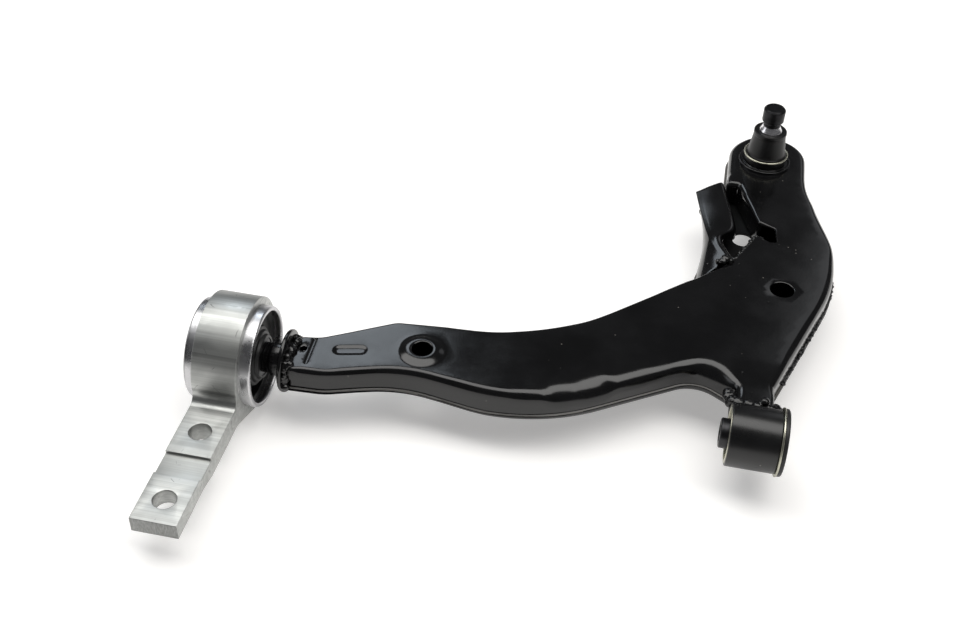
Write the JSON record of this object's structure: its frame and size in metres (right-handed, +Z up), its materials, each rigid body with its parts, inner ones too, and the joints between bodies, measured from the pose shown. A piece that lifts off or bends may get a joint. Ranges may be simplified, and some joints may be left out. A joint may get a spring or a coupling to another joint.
{
  "type": "control arm",
  "caption": "L-shaped pressed-steel lower control arm with a ball joint, a rubber-bushed eye and a flanged pin in a large bushed aluminium bracket.",
  "frame": {"origin": "middle of the front bush's bore, on the line through both bushes", "axes": "+X along the bush line from the rear bush to the front bush, +Y outwards to the ball joint, +Z up along the stud"},
  "size_m": [0.4909, 0.5797, 0.1144],
  "materials": {
    "black_coat": "glossy black electrocoat",
    "plated_steel": "zinc plated",
    "dark_steel": "black phosphated steel",
    "stud_steel": "black head, bright turned collar",
    "bright_sleeve": "bright turned sleeve",
    "aluminium": "bright as-extruded",
    "rubber": "moulded",
    "boot_rubber": "smooth moulded",
    "seat_polymer": "moulded acetal"
  },
  "bodies": {
    "arm": {"upper_shell": "black_coat", "lower_shell": "black_coat", "web_plate": "black_coat", "rear_end_plate": "black_coat", "rear_pin": "black_coat", "front_eye": "black_coat", "front_bush_outer_sleeve": "plated_steel", "front_bush_rubber": "rubber", "rear_bush_inner_sleeve": "dark_steel", "ball_housing": "black_coat", "ball_seat_upper": "seat_polymer", "ball_seat_lower": "seat_polymer", "seat_spring": "plated_steel", "ball_cover": "dark_steel", "boot_lower_ring": "plated_steel"},
    "front_sleeve": {"front_bush_inner_sleeve": "dark_steel"},
    "rear_bracket": {"rear_bracket": "aluminium", "rear_bush_outer_sleeve": "bright_sleeve", "rear_bush_rubber": "rubber"},
    "boot": {"dust_boot": "boot_rubber"},
    "boot_ring": {"boot_upper_ring": "dark_steel"},
    "stud": {"ball_stud": "stud_steel"}
  },
  "joints": [
    {"name": "front_bush_twist", "type": "hinge", "parent": "arm", "child": "front_sleeve", "pos_m": [0, 0, 0], "axis": [1, 0, 0], "range_deg": [-20, 20], "stiffness_Nm_per_rad": 60},
    {"name": "rear_bush_twist", "type": "hinge", "parent": "arm", "child": "rear_bracket", "pos_m": [-0.4025, 0, 0], "axis": [1, 0, 0], "range_deg": [-20, 20], "stiffness_Nm_per_rad": 60},
    {"name": "stud_tilt_x", "type": "hinge", "parent": "arm", "child": "boot", "pos_m": [-0.005, 0.3646, -0.001], "axis": [1, 0, 0], "range_deg": [-18, 18], "deforming": ["dust_boot"]},
    {"name": "stud_tilt_y", "type": "hinge", "parent": "boot", "child": "boot_ring", "pos_m": [-0.005, 0.3646, -0.001], "axis": [0, 1, 0], "range_deg": [-18, 18]},
    {"name": "stud_spin", "type": "hinge", "parent": "boot_ring", "child": "stud", "pos_m": [-0.005, 0.3646, -0.001], "axis": [0, 0, 1], "continuous": true}
  ]
}
